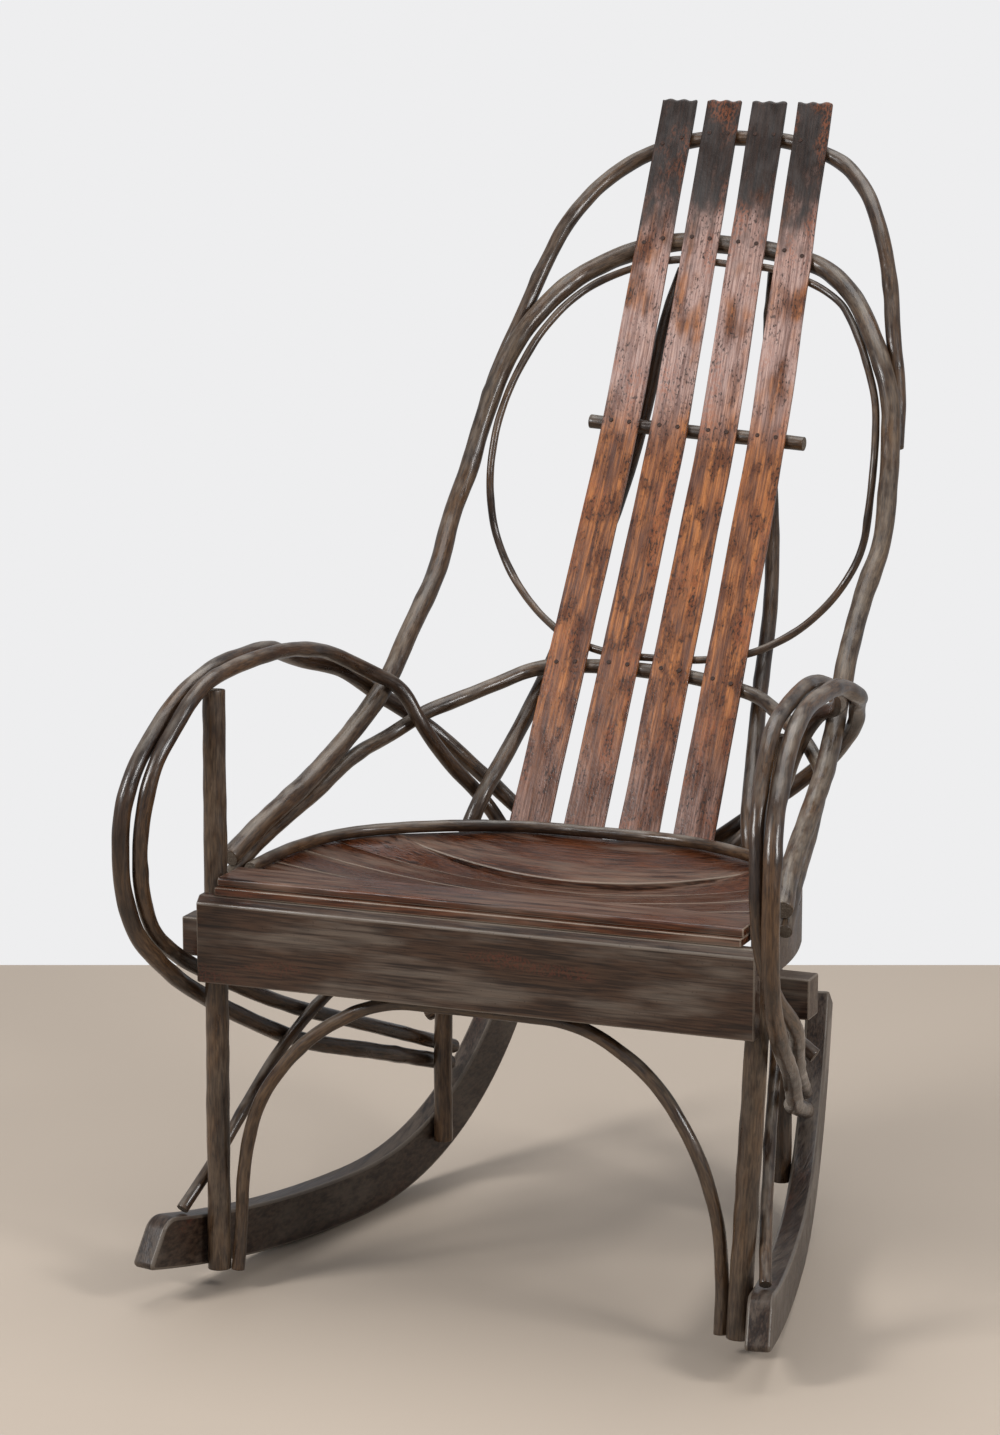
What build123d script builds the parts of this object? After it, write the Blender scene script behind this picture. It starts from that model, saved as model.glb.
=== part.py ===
"""Bent-hickory rocking chair: saplings and boards nailed into a frame on two rockers.

Millimetres. +X is the sitter's left as seen from the front (the viewer's right), +Y runs to the
back and +Z up. While it is built, x = 0 is the middle plane, y = 0 the line of the front posts at
seat height and z = 0 the floor. The finished chair is then moved so that the middle of its
footprint box is the origin.
"""
from build123d import *
from math import asin, cos, radians, sin, sqrt, tan
import os

# ---- saplings (diameters) ----
post_d = 23.0            # front posts
rear_post_d = 20.0       # rear posts, which run up into the back
arm_outer_d = 17.0
arm_inner_d = 15.0
hoop_d = 20.0            # main hoop of the back, with both its stiles
crest_d = 16.0           # top hoop above it
low_arch_d = 15.0        # arch low in the back
ring_d = 8.0             # thin oval ring
rod_d = 15.0             # rod behind the slats
rim_d = 12.0             # rim around the seat
foot_arch_d = 13.0       # arch between the front posts' feet
side_brace_d = 12.0
touch = 0.3              # gap left between round pieces that touch

# ---- rockers ----
rocker_thick = 24.0
rocker_depth = 50.0
rocker_toe = 12.6        # degrees that each rocker turns in towards the back
contact_y = 224.0        # where the rockers touch the floor at rest
front_sweep_r = 1450.0   # bottom edge ahead of the contact
mid_sweep_r = 430.0      # bottom edge just behind it
mid_sweep_run = 60.0     # length of that stretch
tail_sweep_r = 340.0     # rising tail
nose_y = -110.0          # front tip of a rocker
nose_slope = 28.0        # how far its top edge starts behind the tip
tail_y = 540.0           # back end of a rocker
nose_round = 20.0
tip_round = 5.0

# ---- front frame ----
front_half = 262.0       # post centre to middle plane at the foot
post_foot_y = -20.0
post_foot_z = 20.0
post_splay = 17.0        # how much further out the top of a post stands
post_rake = 40.0         # how much further back it stands
seat_height = 389.0      # top edge of the front rail
rail_height = 84.0
rail_thick = 17.5
rail_front = -30.0       # front face of the front rail to the line of the posts
rail_reach = 15.0        # how far its ends stand outside the feet of the front posts
rail_bevel = 7.0
cross_height = 38.0
cross_thick = 28.0
cross_drop = 34.0        # top of the cross rail below the top of the front rail
cross_reach = 52.0       # how far its ends stand outside the feet of the front posts

# ---- seat ----
strip_thick = 8.0
strip_step = 7.0         # step of each front strip behind the piece under it
strip_back_y = 32.0
seat_inset = 3.0         # the rim's centre line inside the feet of the front posts
seat_rise = 4.0          # seat slats' top at their ends above the rail
slat_thick = 8.0
seat_slat_gap = 1.2
seat_joints = (73.0, 108.0, 161.0, 210.0, 236.0)
seat_sags = (5.0, 12.0, 18.0, 25.0, 30.0, 32.0)
board_front_sag = 25.0   # the back board hangs less, so light shows under its front edge
board_back_sag = 3.0
board_bow = 45.0         # how far its front edge falls back, at the seat's full width
rim_back_drop = 3.4      # how much lower the rim's back is
apron_thick = 13.0
apron_height = 42.0

# ---- back ----
back_inset = 34.0        # the hoop's upright sides inside the feet of the front posts
rear_post_behind = 5.0   # rear posts' feet behind the line of the slats at the seat edge
rear_foot_z = 50.0
back_rail_height = 62.0
back_rail_thick = 18.0
back_rail_inset = 7.0    # its ends inside the rear posts' centre lines
back_rail_drop = 25.0    # its top back edge below the front rail's top
back_slat_thick = 4.5
back_slat_width = 38.0
back_slat_foot_width = 43.0
slat_pitch_top = 50.0    # spacing of the slats at their tops
slat_pitch_foot = 59.0
slat_foot = -62.0        # slat bottom above the seat edge
slat_head = 706.0        # slat top above the seat edge
slat_knee = 373.0        # where the slats bend, above the seat edge
slat_knee_r = 900.0
slat_lean_low = 33.0     # degrees from upright below the bend
slat_lean_high = 26.4    # and above it
seat_to_slats = 345.0    # rail line to the slats at the seat edge
rod_half = 118.0
rod_rise = 11.0          # how much higher the rod's -X end is
arm_cross_front = 17.0   # where the outer arm saplings cross in the middle, behind that line
arm_cross_back = 38.0
crown_tilt = 4.0         # how much the crowns of the bent back pieces drop on the +X side
ring_pinch = 10.0        # how much further in the ring turns low on the -X side
arm_rise = 206.0         # arm's highest centre line above the seat edge
post_gap = 17.0          # post top below that line

# ---- nails ----
nail_d = 2.4
nail_head_d = 4.6
nail_head_h = 1.0
nail_side = 10.0         # nail from a slat's middle line
nail_slack = 0.2         # room around a nail's shank and past its point
nail_bite = 9.0          # how deep a nail goes into the piece behind

# ---- places worked out from the sizes ----
S = seat_height
D = seat_to_slats
rear_post_y = D + rear_post_behind
rail_half = front_half + rail_reach
cross_half = front_half + cross_reach
seat_half = front_half - seat_inset
back_half = front_half - back_inset
toe = tan(radians(rocker_toe))
arm_z = S + arm_rise
knee_y = seat_to_slats + slat_knee * tan(radians(slat_lean_low))
knee_z = S + slat_knee


def apart(first, second):
    """Centre distance of two round pieces that touch."""
    return (first + second) / 2 + touch


def beside(point, way, distance):
    """The point at a distance from another, in the direction given."""
    return tuple(Vector(*point) + Vector(*way).normalized() * distance)


def rocker_x(y):
    """Inner face of a rocker at a distance back."""
    return rocker_inner - toe * y


def post_at(z):
    """Centre of a front post at a height."""
    part = (z - post_foot_z) / (arm_z - post_foot_z)
    return front_half + post_splay * part, post_foot_y + post_rake * part


grip_x, grip_y = post_at(post_foot_z + rocker_depth)
rocker_inner = grip_x + (post_d / 2 + touch) / cos(radians(rocker_toe)) + toe * grip_y
rear_half = rocker_inner - toe * rear_post_y - (rear_post_d / 2 + touch) / cos(radians(rocker_toe))
back_rail_half = rear_half - back_rail_inset


def slat_lean(z):
    """Lean of the back slats from upright, in degrees."""
    return slat_lean_low if z < knee_z else slat_lean_high


def slat_y(z):
    """Middle of the slats' thickness at a height."""
    lean = radians(slat_lean(z))
    reach = slat_knee_r * tan(radians(slat_lean_low - slat_lean_high) / 2)
    into_bend = max(0, reach - abs(z - knee_z) / cos(lean))
    return knee_y + (z - knee_z) * tan(lean) - into_bend ** 2 / (2 * slat_knee_r * cos(lean))


def behind(diameter):
    """Distance from the middle of the slats to the centre of a round piece that touches their back."""
    return back_slat_thick / 2 + touch + diameter / 2


def behind_slats(x, z, diameter):
    """Centre of such a piece where the slats are at height z."""
    lean = radians(slat_lean(z))
    return x, slat_y(z) + behind(diameter) * cos(lean), z - behind(diameter) * sin(lean)


def height_at(route, x):
    """Height of a route that walks towards -X, where it is at x."""
    for (x0, _, z0), (x1, _, z1) in zip(route, route[1:]):
        if x1 <= x <= x0:
            return z0 + (z1 - z0) * (x - x0) / (x1 - x0)


def mirrored(route):
    """The other side's copy of a route, walked backwards."""
    return [(-x, y, z) for x, y, z in reversed(route)]


# ---- routes of the bent saplings: the corners that their bends cut, on the +X side ----
stile_cross = (back_half + 9, D - 9, S + 140)


def hoop_side(drop):
    """One side of the main hoop, its crown lowered by a drop."""
    return [
        (front_half + 16, 46, S + 20),
        (front_half + 5, 98, S + 44),
        (back_half + 27, 191, S + 71),
        (back_half + 18, D - 69, S + 105),
        stile_cross,
        (back_half + 4, D + 32, S + 183),
        (back_half - 1, D + 102, S + 239),
        (back_half + 5, D + 149, S + 286),
        (back_half - 1, D + 184, S + 331),
        (back_half - 6, D + 210, S + 378),
        (back_half - 14, D + 234, S + 424),
        (back_half - 34 - 0.2 * drop, D + 255, S + 469 - 0.4 * drop),
        (back_half - 57 - 0.6 * drop, D + 287, S + 501 - 0.8 * drop),
        (back_half - 79 - 0.7 * drop, D + 316, S + 522 - drop),
        behind_slats(111, S + 550 - drop, hoop_d),
        behind_slats(50 - 0.7 * drop, S + 565 - 0.8 * drop, hoop_d),
    ]


hoop_left = hoop_side(crown_tilt)
hoop_right = hoop_side(-crown_tilt)
hoop_route = hoop_left + mirrored(hoop_right)


def crest_side(hoop, aside):
    """One side of the top hoop, from its end behind the main hoop; aside is how far out it lies."""
    off = apart(hoop_d, crest_d) + 1
    return [
        beside(hoop[9], (aside, 1, -0.3), off),
        beside(hoop[10], (aside + 0.15, 0.9, -0.1), off),
        (back_half - 25, D + 274, S + 483),
        (back_half - 37, D + 304, S + 531),
        (back_half - 54, D + 327, S + 578),
        (back_half - 80, D + 361, S + 618),
        behind_slats(113, S + 651, crest_d),
        behind_slats(50, S + 672, crest_d),
    ]


crest_route = crest_side(hoop_left, 0) + mirrored(crest_side(hoop_right, 0.4))


def low_arch_side(hoop, drop):
    """One side of the low arch, from under the foot of the main hoop, its crown lowered by a drop."""
    off = apart(hoop_d, low_arch_d)
    return [
        beside(hoop[0], (0.1, 0, -1), off + 2),
        beside(hoop[1], (0.2, 0.1, -1), off + 1),
        beside(hoop[2], (0, 0.2, -1), off),
        (back_half + 15, D - 81, S + 80),
        (back_half, D - 24, S + 90),
        (back_half - 27, D + 7, S + 111),
        (back_half - 51, D + 33, S + 120),
        (back_half - 78, D + 71, S + 128 - 0.8 * drop),
        behind_slats(120, S + 145 - 1.3 * drop, low_arch_d),
        behind_slats(48 - 0.6 * drop, S + 154 - 0.4 * drop, low_arch_d),
    ]


low_arch_route = low_arch_side(hoop_left, crown_tilt) + mirrored(low_arch_side(hoop_right, -crown_tilt))


def ring_side(hoop, drop, pinch):
    """One side of the oval ring, inside the main hoop; low down it turns in by a pinch."""
    off = apart(hoop_d, ring_d) + 1
    return [
        behind_slats(50, S + 561 - 0.8 * drop - off, ring_d),
        behind_slats(106, S + 546 - drop - off, ring_d),
        beside(hoop[13], (-0.7, 0, -0.7), off),
        beside(hoop[12], (-0.8, 0.1, -0.6), off),
        beside(hoop[11], (-0.9, 0.2, -0.4), off + 1),
        (back_half - 29, D + 233, S + 417),
        (back_half - 22, D + 209, S + 375),
        (back_half - 21, D + 191, S + 323),
        (back_half - 27, D + 189, S + 270),
        (back_half - 51, D + 179, S + 225),
        (back_half - 82 - 0.8 * pinch, D + 151, S + 191 + 0.3 * pinch),
        behind_slats(104 - 1.5 * pinch, S + 173 + 0.2 * pinch, ring_d),
        behind_slats(50 - 1.2 * pinch, S + 165, ring_d),
    ]


ring_left = ring_side(hoop_left, crown_tilt, 0)
ring_right = ring_side(hoop_right, -crown_tilt, ring_pinch)

rear_post_route = [
    (rear_half, rear_post_y, rear_foot_z),
    (rear_half, rear_post_y, S - 190),
    (rear_half - 18, rear_post_y - 12, S - 59),
    (rear_half - 38, rear_post_y - 10, S + 15),
    (rear_half - 54, rear_post_y + 57, S + 73),
    (rear_half - 70, rear_post_y + 129, S + 143),
    (rear_half - 79, rear_post_y + 187, S + 214),
    (slat_pitch_top + 35, rear_post_y + 246, S + 293),
    (slat_pitch_top + 16, rear_post_y + 278, S + 390),
    (slat_pitch_top + 8, rear_post_y + 309, S + 480),
    (slat_pitch_top, rear_post_y + 346, S + 532),
]

# the two arms were bent by hand, so each side has its own routes
arm_bow = [
    (front_half + 50, -88, S - 29),
    (front_half + 54, -108, S + 27),
    (front_half + 54, -105, S + 90),
    (front_half + 49, -84, S + 134),
]
arm_outer_left = [
    (rear_half + 10, rear_post_y + 47, S - 278),
    (rear_half + 39, D - 90, S - 229),
    (front_half - 2, 148, S - 192),
    (front_half + 24, 54, S - 136),
    (front_half + 39, -29, S - 84),
] + arm_bow + [
    (front_half + 39, -17, arm_z - 20),
    (front_half + 32, 51, arm_z + 2),
    (front_half + 30, 160, arm_z + 4),
    (front_half + 32, 228, S + 186),
    (back_half + 42, D - 52, S + 166),
    (back_half + 29, D - 7, S + 136),
    (back_half - 14, D + 48, S + 86),
    (rear_half - 26, D + 60, S + 41),
    (30, D + arm_cross_front, S - 56),
    (-rear_half - 26, D + 28, S - 213),
]
arm_outer_right = [
    (rear_half + 13, rear_post_y + 47, S - 270),
    (rear_half + 34, D - 90, S - 222),
    (front_half - 7, 148, S - 187),
    (front_half + 20, 54, S - 135),
    (front_half + 37, -29, S - 84),
] + arm_bow + [
    (front_half + 39, -17, arm_z - 21),
    (front_half + 30, 51, arm_z),
    (front_half + 25, 160, arm_z - 1),
    (front_half + 29, 228, S + 181),
    (back_half + 41, D - 52, S + 162),
    (back_half + 29, D - 7, S + 133),
    (back_half - 15, D + 48, S + 85),
    (rear_half - 24, D + 60, S + 36),
    (30, D + arm_cross_back, S - 56),
    (-rear_half - 26, D + 28, S - 213),
]
arm_inner_left = [
    (rear_half + 7, rear_post_y + 51, S - 260),
    (rear_half + 46, D - 83, S - 204),
    (front_half + 7, 125, S - 149),
    (front_half + 46, -1, S - 75),
    (front_half + 45, -67, S - 30),
    (front_half + 40, -96, S + 25),
    (front_half + 38, -97, S + 81),
    (front_half + 31, -78, S + 136),
    (front_half + 21, -12, arm_z - 5),
    (front_half + 17, 59, arm_z + 7),
    (front_half + 9, 150, arm_z + 9),
    (front_half + 9, 239, S + 188),
    (front_half - 8, D - 52, S + 160),
    beside(stile_cross, (-0.95, -0.4, 0.2), apart(hoop_d, arm_inner_d) + 3),
    (back_half - 32, D - 18, S + 101),
    (back_half - 48, D + 11, S + 65),
    (rear_half - 39, D + 44, S + 19),
    (rear_half - 94, D + 11, S - 37),
]
arm_inner_right = [
    (rear_half + 9, rear_post_y + 51, S - 253),
    (rear_half + 37, D - 83, S - 198),
    (front_half + 1, 125, S - 144),
    (front_half + 43, -1, S - 74),
    (front_half + 44, -66, S - 29),
    (front_half + 40, -96, S + 24),
    (front_half + 38, -97, S + 80),
    (front_half + 33, -78, S + 134),
    (front_half + 17, -12, arm_z - 8),
    (front_half + 9, 59, arm_z + 1),
    (front_half - 1, 150, arm_z + 1),
    (front_half - 2, 239, S + 189),
    (front_half - 18, D - 52, S + 162),
    beside(stile_cross, (-0.95, -0.4, 0), apart(hoop_d, arm_inner_d) + 3),
    (back_half - 35, D - 18, S + 97),
    (back_half - 50, D + 11, S + 58),
    (rear_half - 37, D + 45, S + 9),
    (rear_half - 90, D + 11, S - 50),
]

rim_z = S + seat_rise + rim_d / 2 + touch
rim_side = [
    (seat_half, 52, rim_z),
    (seat_half, 130, rim_z),
    (seat_half - 21, D - 124, rim_z),
    (seat_half - 92, D - 64, rim_z),
    (seat_half - 172, D - 17, rim_z - rim_back_drop),
]
foot_arch_side = [
    (front_half - 18, -17, post_foot_z),
    (front_half - 19, -10, S - 327),
    (front_half - 22, -11, S - 266),
    (front_half - 41, -18, S - 196),
    (front_half - 88, -9, S - 133),
    (front_half - 161, -5, S - 90),
]
side_brace_route = [
    (front_half + 31, -37, S - 308.3),
    (front_half + 16, 8, S - 269),
    (front_half - 7, 92, S - 189),
    (front_half - 24, 158, S - 149),
    (front_half - 58, D - 95, S - 106),
    (rear_half, D + 3, S - 54),
]
rod_route = [behind_slats(rod_half, knee_z, rod_d), behind_slats(-rod_half, knee_z + rod_rise, rod_d)]


# ---- solids ----
def bent(points):
    """A line through the points with its corners bent into arcs."""
    spots = [Vector(*point) for point in points]
    edges = []
    start = spots[0]
    for before, corner, after in zip(spots, spots[1:], spots[2:]):
        back = before - corner
        ahead = after - corner
        trim = 0.45 * min(back.length, ahead.length)
        back = back.normalized()
        ahead = ahead.normalized()
        turn = radians(180 - back.get_angle(ahead))
        if turn < 0.01:
            continue
        first = corner + back * trim
        last = corner + ahead * trim
        sagitta = trim * tan(turn / 4)
        middle = (first + last) / 2 + (corner - (first + last) / 2).normalized() * sagitta
        edges.append(Line(start, first))
        edges.append(ThreePointArc(first, middle, last))
        start = last
    edges.append(Line(start, spots[-1]))
    return Wire(edges)


def sapling(points, diameter):
    """A round pole along the line through the points."""
    path = bent(points)
    section = Plane(origin=path @ 0, z_dir=path % 0) * Circle(diameter / 2)
    return sweep(section, path=path)


def other_side(solid):
    """The same piece on the -X side."""
    return mirror(solid, about=Plane.YZ)


def block(x0, x1, y0, y1, z0, z1):
    """A box between two corners."""
    return Pos((x0 + x1) / 2, (y0 + y1) / 2, (z0 + z1) / 2) * Box(x1 - x0, y1 - y0, z1 - z0)


def nail(head_at, way, length):
    """A nail whose head rests at a point; its shank runs the way given."""
    place = Plane(origin=head_at, z_dir=way)
    head = place * Pos(0, 0, -nail_head_h / 2) * Cylinder(nail_head_d / 2, nail_head_h)
    shank = place * Pos(0, 0, length / 2) * Cylinder(nail_d / 2, length)
    return head + shank


def nail_hole(head_at, way, length):
    """The hole for such a nail."""
    place = Plane(origin=head_at, z_dir=way)
    depth = length + 2 * nail_slack
    return place * Pos(0, 0, length / 2) * Cylinder(nail_d / 2 + nail_slack, depth)


# ---- rockers ----
def rocker():
    """The +X rocker: three arcs along its bottom, the same arcs nearer their centres on top."""
    mid_turn = mid_sweep_run / mid_sweep_r
    tail_turn = mid_turn + (tail_y - contact_y - mid_sweep_run) / tail_sweep_r
    mid_angle = asin(mid_turn)
    tail_angle = asin(tail_turn)
    nose_angle = asin((nose_y - contact_y) / front_sweep_r)
    top_nose_angle = asin((nose_y + nose_slope - contact_y) / (front_sweep_r - rocker_depth))

    def on_arc(centre, radius, angle):
        return centre[0] + radius * sin(angle), centre[1] - radius * cos(angle)

    front_c = (0, front_sweep_r)
    mid_c = (0, mid_sweep_r)
    tail_c = (
        (mid_sweep_r - tail_sweep_r) * sin(mid_angle),
        mid_sweep_r - (mid_sweep_r - tail_sweep_r) * cos(mid_angle),
    )
    spans = [
        (front_c, front_sweep_r, nose_angle, 0, top_nose_angle),
        (mid_c, mid_sweep_r, 0, mid_angle, 0),
        (tail_c, tail_sweep_r, mid_angle, tail_angle, mid_angle),
    ]
    edges = []
    for centre, radius, start, end, top_start in spans:
        for reach, first in ((radius, start), (radius - rocker_depth, top_start)):
            ends = [on_arc(centre, reach, angle) for angle in (first, (first + end) / 2, end)]
            edges.append(ThreePointArc(*ends))
    nose = Line(edges[0] @ 0, edges[1] @ 0)
    tail = Line(edges[4] @ 1, edges[5] @ 1)
    outline = make_face(Wire(edges + [nose, tail]).edges())
    corners = outline.vertices().sort_by(Axis.X)
    outline = fillet(corners[1], nose_round)
    outline = fillet(outline.vertices().sort_by(Axis.X)[0], tip_round)
    plate = extrude(Plane.YZ * outline, rocker_thick)
    # the outline's runs lie along the rocker itself, so it stands turned in about its contact
    return Pos(rocker_x(contact_y), contact_y, 0) * Rot(0, 0, rocker_toe) * plate


rocker_left = rocker()

# ---- posts and the front frame ----
post_top = arm_z - post_gap
foot_at = post_at(post_foot_z)
top_at = post_at(post_top)
front_post = sapling([(*foot_at, post_foot_z), (*top_at, post_top)], post_d)
rear_post = sapling(rear_post_route, rear_post_d)

rail_low = S - rail_height
front_rail = block(-rail_half, rail_half, rail_front, rail_front + rail_thick, rail_low, S)
top_edges = front_rail.edges().filter_by(Axis.X).group_by(Axis.Z)[-1]
front_rail = chamfer(top_edges.sort_by(Axis.Y)[0], rail_bevel)
cross_top = S - cross_drop
cross_front = post_at(cross_top)[1] + post_d / 2 + touch
cross_rail = block(
    -cross_half, cross_half, cross_front, cross_front + cross_thick, cross_top - cross_height, cross_top
)
foot_arch = sapling(foot_arch_side + mirrored(foot_arch_side), foot_arch_d)
side_brace = sapling(side_brace_route, side_brace_d)

# ---- seat ----
strip_half = post_at(S)[0] - post_d / 2 - touch
strip_front_y = rail_front + strip_step
strip_lower = block(-strip_half, strip_half, strip_front_y, strip_back_y - 2, S, S + strip_thick)
strip_upper = block(
    -strip_half, strip_half, strip_front_y + strip_step, strip_back_y,
    S + strip_thick, S + 2 * strip_thick,
)
strip_upper = fillet(strip_upper.edges().filter_by(Axis.X).group_by(Axis.Z)[-1].sort_by(Axis.Y)[0], 3)


def seat_plan(inset):
    """The seat's outline seen from above, drawn in from its edge by an inset."""
    side = []
    for before, here, after in zip(rim_side, rim_side[1:], rim_side[2:] + [(0, rim_side[-1][1], 0)]):
        along = Vector(after[0] - before[0], after[1] - before[1], 0).normalized()
        side.append((here[0] + along.Y * (rim_d / 2 - inset), here[1] - along.X * (rim_d / 2 - inset), 0))
    edge_x = seat_half + rim_d / 2 - inset
    side = [(edge_x, strip_back_y, 0)] + side
    path = bent(side + mirrored(side))
    front = Line(path @ 1, path @ 0)
    return make_face(path.edges() + [front])


seat_top = S + seat_rise
seat_back_y = rim_side[-1][1] + rim_d
seat_block = Pos(0, 0, rail_low) * extrude(seat_plan(0), seat_top - rail_low)


def seat_reach(y):
    """Half width of the seat to the middle of its rim, at a distance back."""
    for (x0, y0, _), (x1, y1, _) in zip(rim_side, rim_side[1:]):
        if y <= y1:
            return x0 + (x1 - x0) * max(0, y - y0) / (y1 - y0)
    return rim_side[-1][0]


def hanging(front_y, back_y, front_sag, back_sag, height):
    """A slat that hangs between the rim's sides; height is its upper side above its lower one."""
    half = seat_half + rim_d
    ends = []
    for y, sag in ((front_y, front_sag), (back_y, back_sag)):
        lift = height - slat_thick
        rise = sag * (half / seat_reach(y)) ** 2 - sag
        top = ThreePointArc((-half, lift + rise), (0, lift - sag), (half, lift + rise))
        low = ThreePointArc(
            (-half, rise - slat_thick), (0, -sag - slat_thick), (half, rise - slat_thick)
        )
        sides = [Line(top @ 0, low @ 0), Line(top @ 1, low @ 1)]
        face = make_face([top, low] + sides)
        ends.append(Plane(origin=(0, y, seat_top), x_dir=(1, 0, 0), z_dir=(0, -1, 0)) * face)
    return loft(ends, ruled=True)


def under_board(front_y):
    """All that lies behind the back board's front edge, which is bowed and starts at front_y."""
    corner = (seat_half + rim_d, front_y + board_bow)
    edge = ThreePointArc((-corner[0], corner[1]), (0, front_y), corner)
    back = Polyline(corner, (corner[0], 2 * seat_back_y), (-corner[0], 2 * seat_back_y), edge @ 0)
    return Pos(0, 0, rail_low - slat_thick) * extrude(make_face([edge] + back.edges()), 2 * rail_height)


board_front = seat_joints[-1] + seat_slat_gap
last_joint = seat_joints[-1] + board_bow
last_sag = seat_sags[-1] + board_bow * (seat_sags[-1] - seat_sags[-2]) / (seat_joints[-1] - seat_joints[-2])
seat_slats = []
slat_rooms = []
slat_front = strip_back_y
runs = list(zip(seat_joints[:-1], seat_sags, seat_sags[1:])) + [(last_joint, seat_sags[-2], last_sag)]
for joint, front_sag, back_sag in runs:
    edge = slat_front + seat_slat_gap
    seat_slats.append(hanging(edge, joint, front_sag, back_sag, slat_thick) & seat_block)
    slat_rooms.append(hanging(slat_front, edge, front_sag, front_sag, 2 * apron_height))
    slat_rooms.append(hanging(edge, joint, front_sag, back_sag, 2 * apron_height))
    slat_front = joint
seat_slats[-1] = seat_slats[-1] - under_board(seat_joints[-1])
board = hanging(board_front, seat_back_y, board_front_sag, board_back_sag, slat_thick)
back_board = board & seat_block & under_board(board_front)
slat_rooms.append(hanging(board_front, seat_back_y, board_front_sag, board_back_sag, 2 * apron_height))
rim = sapling(rim_side + mirrored(rim_side), rim_d)

lean = radians(slat_lean_low)
rail_top_z = S - back_rail_drop
slat_front_face = slat_y(rail_top_z) - (back_slat_thick / 2 + touch) / cos(lean)
back_rail_place = Pos(0, slat_front_face, rail_top_z) * Rot(-slat_lean_low, 0, 0)
back_rail = back_rail_place * block(
    -back_rail_half, back_rail_half, -back_rail_thick, 0, -back_rail_height, 0
)
rail_room = back_rail_place * block(
    -2 * seat_half, 2 * seat_half, -back_rail_thick - touch, seat_half, -seat_half, seat_half
)
apron_low = seat_top - slat_thick - apron_height
apron_plan = seat_plan(0) - seat_plan(apron_thick)
ring_of_apron = Pos(0, 0, apron_low) * extrude(apron_plan, apron_height + slat_thick)
apron_front = cross_front + cross_thick + touch
apron_room = block(0, 2 * seat_half, apron_front, seat_back_y, rail_low, seat_top)
apron = ring_of_apron & apron_room
for room in slat_rooms:
    apron = apron - room
apron = apron - rail_room

# ---- back ----
hoop = sapling(hoop_route, hoop_d)
crest = sapling(crest_route, crest_d)
low_arch = sapling(low_arch_route, low_arch_d)
butt_x = slat_pitch_top / 2
butt = [(butt_x, *ring_left[0][1:])]
butt_end = [(butt_x - touch, *ring_left[0][1:])]
ring = sapling(butt + ring_left + mirrored(ring_right) + butt_end, ring_d)
rod = sapling(rod_route, rod_d)


def slat_spot(place, z):
    """Middle line of a back slat at a height; place counts slats from the middle."""
    part = (z - S - slat_foot) / (slat_head - slat_foot)
    return place * (slat_pitch_foot + (slat_pitch_top - slat_pitch_foot) * part)


def back_slat(place):
    """One back slat, bent at the rod and narrower towards its top."""
    low = S + slat_foot
    high = S + slat_head
    spots = [(0, slat_y(low), low), (0, knee_y, knee_z), (0, slat_y(high), high)]
    bend = FilletPolyline(*spots, radius=slat_knee_r)
    section = Plane(origin=bend @ 0, x_dir=(1, 0, 0), z_dir=bend % 0)
    band = sweep(section * Rectangle(6 * slat_pitch_foot, back_slat_thick), path=bend)
    foot_x = slat_spot(place, low)
    head_x = slat_spot(place, high)
    taper = Polyline(
        (foot_x - back_slat_foot_width / 2, low - 20), (foot_x + back_slat_foot_width / 2, low - 20),
        (head_x + back_slat_width / 2, high + 20), (head_x - back_slat_width / 2, high + 20),
        close=True,
    )
    shape = Plane.XZ * make_face(taper)
    return band & extrude(shape, -1000)


slat_places = (-1.5, -0.5, 0.5, 1.5)
back_slats = [back_slat(place) for place in slat_places]

# ---- nails ----
def slat_nail_spots(route, diameter):
    """Where the nails into a round piece meet the front of the slats, and the way they run."""
    crown_z = route[len(route) // 2][2]
    tilt = radians(slat_lean(crown_z))
    way = (0, cos(tilt), -sin(tilt))
    spots = []
    for place in slat_places:
        for side in (-nail_side, nail_side):
            x = slat_spot(place, crown_z) + side
            z = height_at(route, x) + behind(diameter) * sin(tilt)
            front = Vector(x, slat_y(z), z) - Vector(*way) * (back_slat_thick / 2)
            spots.append((tuple(front), way))
    return spots


rows = {
    "rod": (rod_route, rod_d, "back_rod"),
    "main_hoop": (hoop_route, hoop_d, "main_hoop"),
    "top_hoop": (crest_route, crest_d, "top_hoop"),
    "low_arch": (low_arch_route, low_arch_d, "low_arch"),
}
parts = {
    "rocker_left": rocker_left,
    "rocker_right": other_side(rocker_left),
    "front_post_left": front_post,
    "front_post_right": other_side(front_post),
    "rear_post_left": rear_post,
    "rear_post_right": other_side(rear_post),
    "front_rail": front_rail,
    "cross_rail": cross_rail,
    "foot_arch": foot_arch,
    "side_brace_left": side_brace,
    "side_brace_right": other_side(side_brace),
    "seat_strip_lower": strip_lower,
    "seat_strip_upper": strip_upper,
    "seat_back_board": back_board,
    "seat_rim": rim,
    "seat_apron_left": apron,
    "seat_apron_right": other_side(apron),
    "seat_back_rail": back_rail,
    "arm_outer_left": sapling(arm_outer_left, arm_outer_d),
    "arm_outer_right": other_side(sapling(arm_outer_right, arm_outer_d)),
    "arm_inner_left": sapling(arm_inner_left, arm_inner_d),
    "arm_inner_right": other_side(sapling(arm_inner_right, arm_inner_d)),
    "main_hoop": hoop,
    "top_hoop": crest,
    "low_arch": low_arch,
    "oval_ring": ring,
    "back_rod": rod,
}
for number, slat in enumerate(seat_slats, 1):
    parts[f"seat_slat_{number}"] = slat
for number, slat in enumerate(back_slats, 1):
    parts[f"back_slat_{number}"] = slat

nail_groups = {}


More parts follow.
